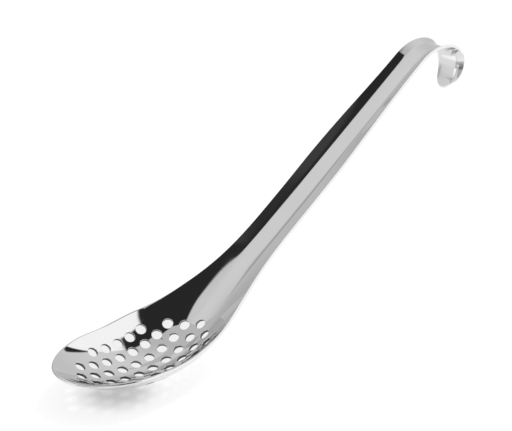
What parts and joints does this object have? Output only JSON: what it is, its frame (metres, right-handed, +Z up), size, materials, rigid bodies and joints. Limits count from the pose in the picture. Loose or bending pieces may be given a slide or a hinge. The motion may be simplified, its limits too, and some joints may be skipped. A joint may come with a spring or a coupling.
{
  "type": "perforated spoon",
  "caption": "Oval perforated spoon pressed from polished steel sheet, with a shallow channel handle and a hooked end, for lifting small soft pieces out of a liquid.",
  "frame": {"origin": "centre of the small rest flat on the underside at the bowl's lowest point", "axes": "+X from the bowl towards the handle, +Z up with the bowl's floor level, +Y to the side; the spoon is symmetric about the XZ plane"},
  "size_m": [0.159, 0.0348, 0.0679],
  "materials": {
    "polished_steel": "mirror-polished stainless steel with faint buffing lines"
  },
  "bodies": {
    "root": {"perforated_spoon": "polished_steel"}
  },
  "joints": []
}
